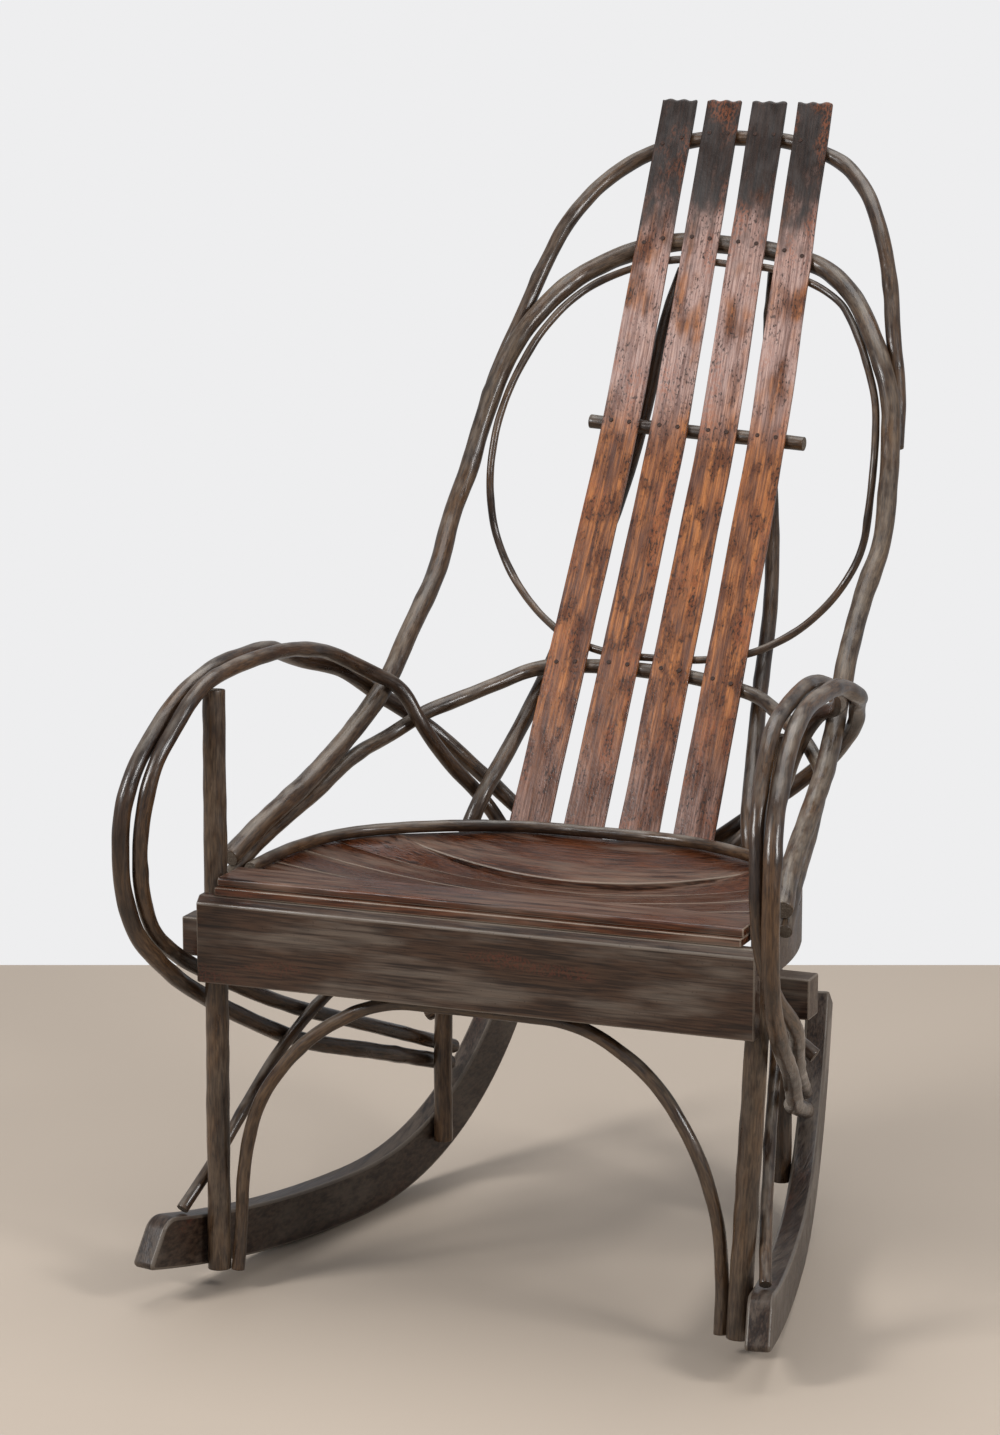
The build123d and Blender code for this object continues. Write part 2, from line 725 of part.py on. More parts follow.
def drive(group, spots, through, length):
    """Nails at the spots, with their holes cut in the pieces they pass through."""
    nails = [nail(spot, way, length) for spot, way in spots]
    nail_groups.setdefault(group, []).extend(nails)
    for name in through:
        for spot, way in spots:
            parts[name] = parts[name] - nail_hole(spot, way, length)


for row, (route, diameter, piece) in rows.items():
    names = [f"back_slat_{number}" for number in (1, 2, 3, 4)] + [piece]
    drive(f"slat_nails_{row}", slat_nail_spots(route, diameter), names, back_slat_thick + touch + nail_bite)

# ---- move the footprint's middle to the origin and write the pieces ----
for group, nails in nail_groups.items():
    parts[group] = Compound(children=nails)
boxes = [solid.bounding_box() for solid in parts.values()]
middle_x = (min(box.min.X for box in boxes) + max(box.max.X for box in boxes)) / 2
middle_y = (min(box.min.Y for box in boxes) + max(box.max.Y for box in boxes)) / 2
bottom = min(box.min.Z for box in boxes)
shift = Pos(-middle_x, -middle_y, -bottom)
os.makedirs("parts", exist_ok=True)
for name, solid in parts.items():
    export_step(shift * solid, f"parts/{name}.step")
print("moved by", -middle_x, -middle_y, -bottom)
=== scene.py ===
"""A hickory rocking chair: bark-covered saplings, varnished slats and worn boards on two rockers."""
import random
from math import atan2, copysign, cos, exp, pi, radians, sin, tan

import bmesh
import bpy
from mathutils import Matrix, Vector, noise


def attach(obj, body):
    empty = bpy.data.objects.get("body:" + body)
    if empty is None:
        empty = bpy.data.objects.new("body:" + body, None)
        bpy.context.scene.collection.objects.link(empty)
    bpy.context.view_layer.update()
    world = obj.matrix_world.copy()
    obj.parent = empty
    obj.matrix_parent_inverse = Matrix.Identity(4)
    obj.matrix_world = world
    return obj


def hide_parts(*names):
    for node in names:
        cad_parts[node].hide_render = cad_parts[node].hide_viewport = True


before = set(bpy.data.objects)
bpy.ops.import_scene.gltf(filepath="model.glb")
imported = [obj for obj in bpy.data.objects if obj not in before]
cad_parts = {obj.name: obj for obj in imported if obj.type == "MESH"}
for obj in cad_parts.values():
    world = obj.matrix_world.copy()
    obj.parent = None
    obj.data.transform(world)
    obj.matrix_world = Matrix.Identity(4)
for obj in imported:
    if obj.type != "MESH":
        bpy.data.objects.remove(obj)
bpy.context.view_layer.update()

MM = 0.001
POST_LINE = 319.574      # the routes count y from the front posts, the frame from its middle
PACE = 4 * MM            # spacing of the rings along a pole

GIRTH = 0.98             # a pole's mean girth, so that its swellings stay near its full size
SWELL = 0.045            # slow changes of the girth along a pole, as a share of it
LUMP = 0.06              # quick ones
SCAR_REACH = 30 * MM     # how far from its middle a branch scar can still be felt
SCAR_HEIGHT = 8 * MM
SCAR_WIDTH = 5 * MM
SCAR_RISE = 0.09         # how far it stands up, as a share of the pole's radius
COLLAR_HEIGHT = 14 * MM  # the swollen ring that it sits on
COLLAR_RISE = 0.05
END_CLEAR = 20 * MM      # no scar is nearer than this to a pole's far end

# ---- sizes in millimetres, which the solids share ----
post_d = 23.0            # front posts
rear_post_d = 20.0       # rear posts, which run up into the back
arm_outer_d = 17.0
arm_inner_d = 15.0
hoop_d = 20.0            # main hoop of the back, with both its stiles
crest_d = 16.0           # top hoop above it
low_arch_d = 15.0        # arch low in the back
ring_d = 8.0             # thin oval ring
rod_d = 15.0             # rod behind the slats
rim_d = 12.0             # rim around the seat
foot_arch_d = 13.0       # arch between the front posts' feet
side_brace_d = 12.0
touch = 0.3              # gap left between round pieces that touch

rocker_depth = 50.0
rocker_toe = 12.6        # degrees that each rocker turns in towards the back
front_half = 262.0       # post centre to middle plane at the foot
post_foot_y = -20.0
post_foot_z = 20.0
post_splay = 17.0        # how much further out the top of a post stands
post_rake = 40.0         # how much further back it stands
post_gap = 17.0          # post top below the arm's highest centre line
seat_height = 389.0      # top edge of the front rail
seat_rise = 4.0          # seat slats' top at their ends above the rail
seat_inset = 3.0         # the rim's centre line inside the feet of the front posts
rim_back_drop = 3.4      # how much lower the rim's back is
arm_rise = 206.0         # arm's highest centre line above the seat edge
arm_cross_front = 17.0   # where the outer arms cross in the middle, behind the slats' line
arm_cross_back = 38.0
back_inset = 34.0        # the hoop's upright sides inside the feet of the front posts
rear_post_behind = 5.0   # rear posts' feet behind the line of the slats at the seat edge
rear_foot_z = 50.0
crown_tilt = 4.0         # how much the crowns of the bent back pieces drop on the +X side
ring_pinch = 10.0        # how much further in the ring turns low on the -X side
ring_joint = 25.0        # where the ring's two ends meet, to the +X side of the middle
rod_half = 118.0
rod_rise = 11.0          # how much higher the rod's -X end is

back_slat_thick = 4.5
back_slat_width = 38.0
back_slat_foot_width = 43.0
slat_pitch_top = 50.0    # spacing of the slats at their tops
slat_pitch_foot = 59.0
slat_foot = -62.0        # slat bottom above the seat edge
slat_head = 706.0        # slat top above the seat edge
slat_knee = 373.0        # where the slats bend, above the seat edge
slat_knee_r = 900.0
slat_lean_low = 33.0     # degrees from upright below the bend
slat_lean_high = 26.4    # and above it
seat_to_slats = 345.0    # rail line to the slats at the seat edge

# ---- places worked out from the sizes ----
S = seat_height
D = seat_to_slats
rear_post_y = D + rear_post_behind
seat_half = front_half - seat_inset
back_half = front_half - back_inset
arm_z = S + arm_rise
knee_z = S + slat_knee
knee_y = D + slat_knee * tan(radians(slat_lean_low))
knee_reach = slat_knee_r * tan(radians(slat_lean_low - slat_lean_high) / 2)


def apart(first, second):
    """Centre distance of two round pieces that touch."""
    return (first + second) / 2 + touch


def beside(point, way, distance):
    """The point at a distance from another, in the direction given."""
    return tuple(Vector(point) + Vector(way).normalized() * distance)


def post_at(z):
    """Centre of a front post at a height."""
    part = (z - post_foot_z) / (arm_z - post_foot_z)
    return front_half + post_splay * part, post_foot_y + post_rake * part, z


toe = tan(radians(rocker_toe))
grip_x, grip_y, _ = post_at(post_foot_z + rocker_depth)
rocker_inner = grip_x + (post_d / 2 + touch) / cos(radians(rocker_toe)) + toe * grip_y
rear_half = rocker_inner - toe * rear_post_y - (rear_post_d / 2 + touch) / cos(radians(rocker_toe))


def slat_lean(z):
    """Lean of the back slats from upright, in degrees."""
    return slat_lean_low if z < knee_z else slat_lean_high


def slat_y(z):
    """Middle of the slats' thickness at a height."""
    lean = radians(slat_lean(z))
    into_bend = max(0, knee_reach - abs(z - knee_z) / cos(lean))
    return knee_y + (z - knee_z) * tan(lean) - into_bend ** 2 / (2 * slat_knee_r * cos(lean))


def behind_slats(x, z, diameter):
    """Centre of a round piece that touches the slats' back, where they are at height z."""
    lean = radians(slat_lean(z))
    off = back_slat_thick / 2 + touch + diameter / 2
    return x, slat_y(z) + off * cos(lean), z - off * sin(lean)


def mirrored(route):
    """The other side's copy of a route, walked backwards."""
    return [(-x, y, z) for x, y, z in reversed(route)]


def swapped(route):
    """The other side's copy of a route."""
    return [(-x, y, z) for x, y, z in route]


# ---- routes of the bent pieces: the corners that their bends cut, on the +X side ----
stile_cross = (back_half + 9, D - 9, S + 140)


def hoop_side(drop):
    """One side of the main hoop, its crown lowered by a drop."""
    return [
        (front_half + 16, 46, S + 20),
        (front_half + 5, 98, S + 44),
        (back_half + 27, 191, S + 71),
        (back_half + 18, D - 69, S + 105),
        stile_cross,
        (back_half + 4, D + 32, S + 183),
        (back_half - 1, D + 102, S + 239),
        (back_half + 5, D + 149, S + 286),
        (back_half - 1, D + 184, S + 331),
        (back_half - 6, D + 210, S + 378),
        (back_half - 14, D + 234, S + 424),
        (back_half - 34 - 0.2 * drop, D + 255, S + 469 - 0.4 * drop),
        (back_half - 57 - 0.6 * drop, D + 287, S + 501 - 0.8 * drop),
        (back_half - 79 - 0.7 * drop, D + 316, S + 522 - drop),
        behind_slats(111, S + 550 - drop, hoop_d),
        behind_slats(50 - 0.7 * drop, S + 565 - 0.8 * drop, hoop_d),
    ]


hoop_left = hoop_side(crown_tilt)
hoop_right = hoop_side(-crown_tilt)
main_hoop_route = hoop_left + mirrored(hoop_right)


def crest_side(hoop, aside):
    """One side of the top hoop, from its end behind the main hoop; aside is how far out it lies."""
    off = apart(hoop_d, crest_d) + 1
    return [
        beside(hoop[9], (aside, 1, -0.3), off),
        beside(hoop[10], (aside + 0.15, 0.9, -0.1), off),
        (back_half - 25, D + 274, S + 483),
        (back_half - 37, D + 304, S + 531),
        (back_half - 54, D + 327, S + 578),
        (back_half - 80, D + 361, S + 618),
        behind_slats(113, S + 651, crest_d),
        behind_slats(50, S + 672, crest_d),
    ]


top_hoop_route = crest_side(hoop_left, 0) + mirrored(crest_side(hoop_right, 0.4))


def low_arch_side(hoop, drop):
    """One side of the low arch, from under the foot of the main hoop, its crown lowered by a drop."""
    off = apart(hoop_d, low_arch_d)
    return [
        beside(hoop[0], (0.1, 0, -1), off + 2),
        beside(hoop[1], (0.2, 0.1, -1), off + 1),
        beside(hoop[2], (0, 0.2, -1), off),
        (back_half + 15, D - 81, S + 80),
        (back_half, D - 24, S + 90),
        (back_half - 27, D + 7, S + 111),
        (back_half - 51, D + 33, S + 120),
        (back_half - 78, D + 71, S + 128 - 0.8 * drop),
        behind_slats(120, S + 145 - 1.3 * drop, low_arch_d),
        behind_slats(48 - 0.6 * drop, S + 154 - 0.4 * drop, low_arch_d),
    ]


low_arch_route = (
    low_arch_side(hoop_left, crown_tilt) + mirrored(low_arch_side(hoop_right, -crown_tilt))
)


def ring_side(hoop, drop, pinch):
    """One side of the oval ring, inside the main hoop; low down it turns in by a pinch."""
    off = apart(hoop_d, ring_d) + 1
    return [
        behind_slats(50, S + 561 - 0.8 * drop - off, ring_d),
        behind_slats(106, S + 546 - drop - off, ring_d),
        beside(hoop[13], (-0.7, 0, -0.7), off),
        beside(hoop[12], (-0.8, 0.1, -0.6), off),
        beside(hoop[11], (-0.9, 0.2, -0.4), off + 1),
        (back_half - 29, D + 233, S + 417),
        (back_half - 22, D + 209, S + 375),
        (back_half - 21, D + 191, S + 323),
        (back_half - 27, D + 189, S + 270),
        (back_half - 51, D + 179, S + 225),
        (back_half - 82 - 0.8 * pinch, D + 151, S + 191 + 0.3 * pinch),
        behind_slats(104 - 1.5 * pinch, S + 173 + 0.2 * pinch, ring_d),
        behind_slats(50 - 1.2 * pinch, S + 165, ring_d),
    ]


ring_left = ring_side(hoop_left, crown_tilt, 0)
ring_right = ring_side(hoop_right, -crown_tilt, ring_pinch)
ring_butt = ring_left[0][1:]
oval_ring_route = (
    [(ring_joint, *ring_butt)] + ring_left
    + mirrored(ring_right) + [(ring_joint - touch, *ring_butt)]
)

rear_post_route = [
    (rear_half, rear_post_y, rear_foot_z),
    (rear_half, rear_post_y, S - 190),
    (rear_half - 18, rear_post_y - 12, S - 59),
    (rear_half - 38, rear_post_y - 10, S + 15),
    (rear_half - 54, rear_post_y + 57, S + 73),
    (rear_half - 70, rear_post_y + 129, S + 143),
    (rear_half - 79, rear_post_y + 187, S + 214),
    (slat_pitch_top + 35, rear_post_y + 246, S + 293),
    (slat_pitch_top + 16, rear_post_y + 278, S + 390),
    (slat_pitch_top + 8, rear_post_y + 309, S + 480),
    (slat_pitch_top, rear_post_y + 346, S + 532),
]

# the two arms were bent by hand, so each side has its own routes
arm_bow = [
    (front_half + 50, -88, S - 29),
    (front_half + 54, -108, S + 27),
    (front_half + 54, -105, S + 90),
    (front_half + 49, -84, S + 134),
]
arm_outer_left = [
    (rear_half + 10, rear_post_y + 47, S - 278),
    (rear_half + 39, D - 90, S - 229),
    (front_half - 2, 148, S - 192),
    (front_half + 24, 54, S - 136),
    (front_half + 39, -29, S - 84),
] + arm_bow + [
    (front_half + 39, -17, arm_z - 20),
    (front_half + 32, 51, arm_z + 2),
    (front_half + 30, 160, arm_z + 4),
    (front_half + 32, 228, S + 186),
    (back_half + 42, D - 52, S + 166),
    (back_half + 29, D - 7, S + 136),
    (back_half - 14, D + 48, S + 86),
    (rear_half - 26, D + 60, S + 41),
    (30, D + arm_cross_front, S - 56),
    (-rear_half - 26, D + 28, S - 213),
]
arm_outer_right = [
    (rear_half + 13, rear_post_y + 47, S - 270),
    (rear_half + 34, D - 90, S - 222),
    (front_half - 7, 148, S - 187),
    (front_half + 20, 54, S - 135),
    (front_half + 37, -29, S - 84),
] + arm_bow + [
    (front_half + 39, -17, arm_z - 21),
    (front_half + 30, 51, arm_z),
    (front_half + 25, 160, arm_z - 1),
    (front_half + 29, 228, S + 181),
    (back_half + 41, D - 52, S + 162),
    (back_half + 29, D - 7, S + 133),
    (back_half - 15, D + 48, S + 85),
    (rear_half - 24, D + 60, S + 36),
    (30, D + arm_cross_back, S - 56),
    (-rear_half - 26, D + 28, S - 213),
]
arm_inner_left = [
    (rear_half + 7, rear_post_y + 51, S - 260),
    (rear_half + 46, D - 83, S - 204),
    (front_half + 7, 125, S - 149),
    (front_half + 46, -1, S - 75),
    (front_half + 45, -67, S - 30),
    (front_half + 40, -96, S + 25),
    (front_half + 38, -97, S + 81),
    (front_half + 31, -78, S + 136),
    (front_half + 21, -12, arm_z - 5),
    (front_half + 17, 59, arm_z + 7),
    (front_half + 9, 150, arm_z + 9),
    (front_half + 9, 239, S + 188),
    (front_half - 8, D - 52, S + 160),
    beside(stile_cross, (-0.95, -0.4, 0.2), apart(hoop_d, arm_inner_d) + 3),
    (back_half - 32, D - 18, S + 101),
    (back_half - 48, D + 11, S + 65),
    (rear_half - 39, D + 44, S + 19),
    (rear_half - 94, D + 11, S - 37),
]
arm_inner_right = [
    (rear_half + 9, rear_post_y + 51, S - 253),
    (rear_half + 37, D - 83, S - 198),
    (front_half + 1, 125, S - 144),
    (front_half + 43, -1, S - 74),
    (front_half + 44, -66, S - 29),
    (front_half + 40, -96, S + 24),
    (front_half + 38, -97, S + 80),
    (front_half + 33, -78, S + 134),
    (front_half + 17, -12, arm_z - 8),
    (front_half + 9, 59, arm_z + 1),
    (front_half - 1, 150, arm_z + 1),
    (front_half - 2, 239, S + 189),
    (front_half - 18, D - 52, S + 162),
    beside(stile_cross, (-0.95, -0.4, 0), apart(hoop_d, arm_inner_d) + 3),
    (back_half - 35, D - 18, S + 97),
    (back_half - 50, D + 11, S + 58),
    (rear_half - 37, D + 45, S + 9),
    (rear_half - 90, D + 11, S - 50),
]

rim_z = S + seat_rise + rim_d / 2 + touch
seat_rim_side = [
    (seat_half, 52, rim_z),
    (seat_half, 130, rim_z),
    (seat_half - 21, D - 124, rim_z),
    (seat_half - 92, D - 64, rim_z),
    (seat_half - 172, D - 17, rim_z - rim_back_drop),
]
foot_arch_side = [
    (front_half - 18, -17, post_foot_z),
    (front_half - 19, -10, S - 327),
    (front_half - 22, -11, S - 266),
    (front_half - 41, -18, S - 196),
    (front_half - 88, -9, S - 133),
    (front_half - 161, -5, S - 90),
]
side_brace_route = [
    (front_half + 31, -37, S - 308.3),
    (front_half + 16, 8, S - 269),
    (front_half - 7, 92, S - 189),
    (front_half - 24, 158, S - 149),
    (front_half - 58, D - 95, S - 106),
    (rear_half, D + 3, S - 54),
]
rod_route = [
    behind_slats(rod_half, knee_z, rod_d), behind_slats(-rod_half, knee_z + rod_rise, rod_d),
]
post_route = [post_at(post_foot_z), post_at(arm_z - post_gap)]


# ---- materials ----
def tint(code):
    """A colour written as sRGB hex, made linear."""
    shares = [int(code[i:i + 2], 16) / 255 for i in (1, 3, 5)]
    return [s / 12.92 if s <= 0.04045 else ((s + 0.055) / 1.055) ** 2.4 for s in shares] + [1]


def add(tree, kind, links=None, **settings):
    """A shader node with its settings; links maps its sockets to values or to other sockets."""
    made = tree.nodes.new(kind)
    for name, value in settings.items():
        setattr(made, name, value)
    for socket, value in (links or {}).items():
        if isinstance(value, bpy.types.NodeSocket):
            tree.links.new(value, made.inputs[socket])
        else:
            made.inputs[socket].default_value = value
    return made


def blank(name):
    """An empty material with its principled shader."""
    material = bpy.data.materials.new(name)
    material.use_nodes = True
    tree = material.node_tree
    return material, tree, tree.nodes["Principled BSDF"]


def pattern(tree, spot, stretch, scale, detail=3.0, rough=0.55):
    """Noise over the spot, drawn out by the stretch along each axis."""
    drawn = add(tree, "ShaderNodeMapping", {"Vector": spot, "Scale": stretch})
    return add(tree, "ShaderNodeTexNoise", {
        "Vector": drawn.outputs[0], "Scale": scale, "Detail": detail, "Roughness": rough,
    }).outputs["Fac"]


def ramp(tree, value, low, high, bottom=0.0, top=1.0):
    """A smooth step of a value from one level to another."""
    return add(tree, "ShaderNodeMapRange", {
        "Value": value, "From Min": low, "From Max": high, "To Min": bottom, "To Max": top,
    }, interpolation_type="SMOOTHSTEP").outputs[0]


def times(tree, first, second):
    """The product of two values."""
    return add(tree, "ShaderNodeMath", {0: first, 1: second}, operation="MULTIPLY").outputs[0]


def over(tree, amount, under, upper):
    """One colour laid over another."""
    return add(tree, "ShaderNodeMix", {0: amount, 6: under, 7: upper}, data_type="RGBA").outputs[2]


def relief(tree, shader, layers):
    """Bump layers, each a height value with its depth in metres, on the shader's normal."""
    normal = None
    for height, depth in layers:
        links = {"Height": height, "Distance": depth, "Strength": 1.0}
        if normal:
            links["Normal"] = normal
        normal = add(tree, "ShaderNodeBump", links).outputs[0]
    tree.links.new(normal, shader.inputs["Normal"])


def axis_of(tree, spot, axis):
    """One coordinate of a spot."""
    return add(tree, "ShaderNodeSeparateXYZ", {0: spot}).outputs[axis]


def hickory_bark():
    """Hickory bark left on the pole under old shellac: umber in the hollows, handled to a brown
    gloss, with grey dust on top. Tone runs from dark and glossy to dry and grey."""
    material, tree, shader = blank("hickory bark, shellacked")
    straight = add(tree, "ShaderNodeAttribute", attribute_name="straight").outputs["Vector"]
    tone = add(tree, "ShaderNodeAttribute", attribute_name="tone").outputs["Fac"]
    knot = add(tree, "ShaderNodeAttribute", attribute_name="knot").outputs["Fac"]
    fibre = pattern(tree, straight, (1, 1, 0.12), 560)       # strands 2 mm wide
    cracks = pattern(tree, straight, (1, 1, 0.2), 250, 2)    # 4 mm wide
    patch = pattern(tree, straight, (1, 1, 0.4), 85)         # 12 mm wide
    blotch = pattern(tree, straight, (1, 1, 0.5), 20, 2)     # 50 mm wide
    dark = over(tree, ramp(tree, fibre, 0.3, 0.7), tint("#1c120c"), tint("#322217"))
    brown = over(tree, ramp(tree, fibre, 0.3, 0.7), tint("#352417"), tint("#573f29"))
    grey = over(tree, ramp(tree, fibre, 0.3, 0.7), tint("#45372a"), tint("#695947"))
    colour = over(tree, ramp(tree, blotch, 0.35, 0.65), dark, brown)
    dry = times(tree, ramp(tree, patch, 0.25, 0.7), tone)
    colour = over(tree, dry, colour, grey)
    colour = over(tree, times(tree, ramp(tree, cracks, 0.44, 0.34), 0.5), colour, tint("#140e0a"))
    up = axis_of(tree, add(tree, "ShaderNodeNewGeometry").outputs["Normal"], 2)
    dust = times(tree, ramp(tree, up, 0.35, 1.0), ramp(tree, patch, 0.35, 0.7))
    colour = over(tree, times(tree, dust, 0.5), colour, tint("#8c8378"))
    colour = over(tree, times(tree, knot, 0.7), colour, tint("#17110d"))
    tree.links.new(colour, shader.inputs["Base Color"])
    worn = add(tree, "ShaderNodeMath", {0: ramp(tree, patch, 0.3, 0.7, 0.26, 0.42),
                                        1: times(tree, dry, 0.3)}, operation="ADD")
    tree.links.new(worn.outputs[0], shader.inputs["Roughness"])
    shader.inputs["Specular IOR Level"].default_value = 0.35
    shader.inputs["Coat Weight"].default_value = 0.3
    shader.inputs["Coat Roughness"].default_value = 0.14
    relief(tree, shader, [(patch, 0.0012), (cracks, 0.0006), (fibre, 0.0003)])
    return material


def sawn_end():
    """The sawn end of a sapling: open grain gone grey, with the marks of the saw across it."""
    material, tree, shader = blank("sapling end grain")
    straight = add(tree, "ShaderNodeAttribute", attribute_name="straight").outputs["Vector"]
    pores = pattern(tree, straight, (1, 1, 1), 900, 4)
    saw = pattern(tree, straight, (1, 0.15, 1), 400, 2)
    colour = over(tree, ramp(tree, pores, 0.35, 0.65), tint("#3a2f26"), tint("#75695b"))
    colour = over(tree, times(tree, ramp(tree, saw, 0.45, 0.6), 0.5), colour, tint("#4b3d31"))
    tree.links.new(colour, shader.inputs["Base Color"])
    shader.inputs["Roughness"].default_value = 0.75
    relief(tree, shader, [(pores, 0.0005), (saw, 0.0006)])
    return material


def slat_hickory():
    """Thin hickory slats under alligatored shellac: orange brown where it is thin, near black at
    the top, with dark freckles all over, and a painted pinkish sheen over the bend and in streaks at
    the foot, which is a painted reflection of the bright surroundings."""
    material, tree, shader = blank("varnished hickory slat")
    straight = add(tree, "ShaderNodeAttribute", attribute_name="straight").outputs["Vector"]
    rise = axis_of(tree, straight, 2)
    grain = pattern(tree, straight, (1, 1, 0.04), 640, 3)      # lines 1.6 mm wide
    streak = pattern(tree, straight, (1, 1, 0.08), 200, 3)     # 5 mm wide
    freckle = pattern(tree, straight, (1, 1, 0.5), 420, 3)     # 2.5 mm spots
    patch = pattern(tree, straight, (1, 1, 0.45), 75, 4)       # 13 mm wide
    blotch = pattern(tree, straight, (1, 1, 0.5), 26, 3)       # 40 mm wide
    amber = over(tree, ramp(tree, grain, 0.3, 0.7), tint("#743f1b"), tint("#ad6c35"))
    umber = over(tree, ramp(tree, grain, 0.3, 0.7), tint("#3f2013"), tint("#643a22"))
    # the colour of the painted sheen: a painted reflection of the bright surroundings on the leaning
    # slats
    painted_sheen = over(tree, ramp(tree, grain, 0.3, 0.7), tint("#755850"), tint("#b1958c"))
    soot = over(tree, ramp(tree, grain, 0.3, 0.7), tint("#170e09"), tint("#2b1c14"))
    colour = over(tree, ramp(tree, streak, 0.32, 0.68), umber, amber)
    colour = over(tree, times(tree, ramp(tree, patch, 0.52, 0.4), 0.75), colour, umber)
    low = add(tree, "ShaderNodeMath", {0: rise, 1: times(tree, patch, 0.16)}, operation="ADD")
    colour = over(tree, ramp(tree, low.outputs[0], 0.34, 0.2, 0, 0.7), colour, umber)
    # painted sheen: a band of pinkish grey above the rod, a painted reflection on the slats
    sheen_band = times(tree, ramp(tree, rise, 0.49, 0.58), ramp(tree, blotch, 0.34, 0.54))
    colour = over(tree, times(tree, sheen_band, 0.88), colour, painted_sheen)
    # painted sheen in streaks near the foot, in the same pinkish grey
    foot = times(tree, ramp(tree, rise, 0.2, 0.1), ramp(tree, streak, 0.4, 0.62))
    colour = over(tree, times(tree, foot, 0.4), colour, painted_sheen)
    high = add(tree, "ShaderNodeMath", {0: rise, 1: times(tree, patch, 0.2)}, operation="ADD")
    colour = over(tree, ramp(tree, high.outputs[0], 0.8, 0.9), colour, soot)
    spots = times(tree, ramp(tree, freckle, 0.52, 0.62), ramp(tree, patch, 0.62, 0.38))
    colour = over(tree, times(tree, spots, 0.85), colour, tint("#1f120c"))
    bare = times(tree, ramp(tree, blotch, 0.52, 0.66), ramp(tree, freckle, 0.58, 0.42))
    colour = over(tree, times(tree, bare, 0.42), colour, tint("#8f4d27"))
    tree.links.new(colour, shader.inputs["Base Color"])
    tree.links.new(ramp(tree, patch, 0.3, 0.7, 0.24, 0.42), shader.inputs["Roughness"])
    shader.inputs["Specular IOR Level"].default_value = 0.45
    shader.inputs["Coat Weight"].default_value = 0.2
    shader.inputs["Coat Roughness"].default_value = 0.2
    relief(tree, shader, [(patch, 0.0006), (streak, 0.0003), (freckle, 0.0002)])
    return material


def old_board(name, along, dark, light, dust_and_highlight_colour, dust_share, gloss):
    """A sawn board, planed and stained, its varnish worn grey in long streaks, and lighter on its
    rounded edges, which is partly wear and partly painted highlight lines.
    along is how far the grain is drawn out on each axis, gloss the roughness of whole varnish."""
    material, tree, shader = blank(name)
    spot = add(tree, "ShaderNodeTexCoord").outputs["Object"]
    grain = pattern(tree, spot, along, 560, 3)                 # lines 2 mm wide
    streak = pattern(tree, spot, along, 140, 3)                # 7 mm wide
    patch = pattern(tree, spot, [0.2 + 0.8 * a for a in along], 26, 4)   # 40 mm
    speck = pattern(tree, spot, (1, 1, 1), 420, 3)
    colour = over(tree, ramp(tree, grain, 0.28, 0.72), tint(dark), tint(light))
    colour = over(tree, times(tree, ramp(tree, streak, 0.46, 0.34), 0.6), colour, tint("#1a110d"))
    dusty = times(tree, ramp(tree, patch, 0.44, 0.62), ramp(tree, streak, 0.3, 0.62))
    colour = over(tree, times(tree, dusty, dust_share), colour, tint(dust_and_highlight_colour))
    red = times(tree, ramp(tree, patch, 0.42, 0.3), ramp(tree, speck, 0.45, 0.6))
    colour = over(tree, times(tree, red, 0.5), colour, tint("#5c2e20"))
    # the rounded edges are painted lighter in the dust colour: partly real wear, partly painted
    # highlight lines along the edges
    edge = add(tree, "ShaderNodeAttribute", attribute_name="edge").outputs["Fac"]
    rubbed = times(tree, edge, ramp(tree, patch, 0.2, 0.5))
    colour = over(tree, times(tree, rubbed, 0.75), colour, tint(dust_and_highlight_colour))
    colour = over(tree, times(tree, ramp(tree, speck, 0.64, 0.74), 0.6), colour, tint("#120d0b"))
    tree.links.new(colour, shader.inputs["Base Color"])
    dull = add(tree, "ShaderNodeMath", {0: ramp(tree, patch, 0.3, 0.7, gloss, gloss + 0.14),
                                        1: times(tree, dusty, 0.25)}, operation="ADD")
    tree.links.new(dull.outputs[0], shader.inputs["Roughness"])
    shader.inputs["Specular IOR Level"].default_value = 0.3
    shader.inputs["Coat Weight"].default_value = 0.16
    shader.inputs["Coat Roughness"].default_value = 0.2
    relief(tree, shader, [(patch, 0.0008), (streak, 0.0005), (grain, 0.0003)])
    return material


def nail_iron():
    """Cut nails of mild steel, blued by age, with rust in the pits."""
    material, tree, shader = blank("old nail steel")
    spot = add(tree, "ShaderNodeTexCoord").outputs["Object"]
    pits = pattern(tree, spot, (1, 1, 1), 1500, 3)
    colour = over(tree, ramp(tree, pits, 0.45, 0.6), tint("#2a2625"), tint("#4a2f22"))
    tree.links.new(colour, shader.inputs["Base Color"])
    shader.inputs["Metallic"].default_value = 0.7
    shader.inputs["Roughness"].default_value = 0.5
    relief(tree, shader, [(pits, 0.0002)])
    return material


bark = hickory_bark()
end_grain = sawn_end()
slat_wood = slat_hickory()
rail_wood = old_board(
    "front rail board", (0.05, 1, 1), "#22140d", "#443023", "#6d6257", 0.55, 0.3,
)
seat_wood = old_board(
    "seat board", (0.05, 1, 1), "#28130b", "#5c331d", "#857566", 0.34, 0.18,
)
rocker_wood = old_board(
    "rocker plank", (1, 0.06, 0.5), "#1e140e", "#3e2f25", "#645a50", 0.5, 0.34,
)
iron = nail_iron()


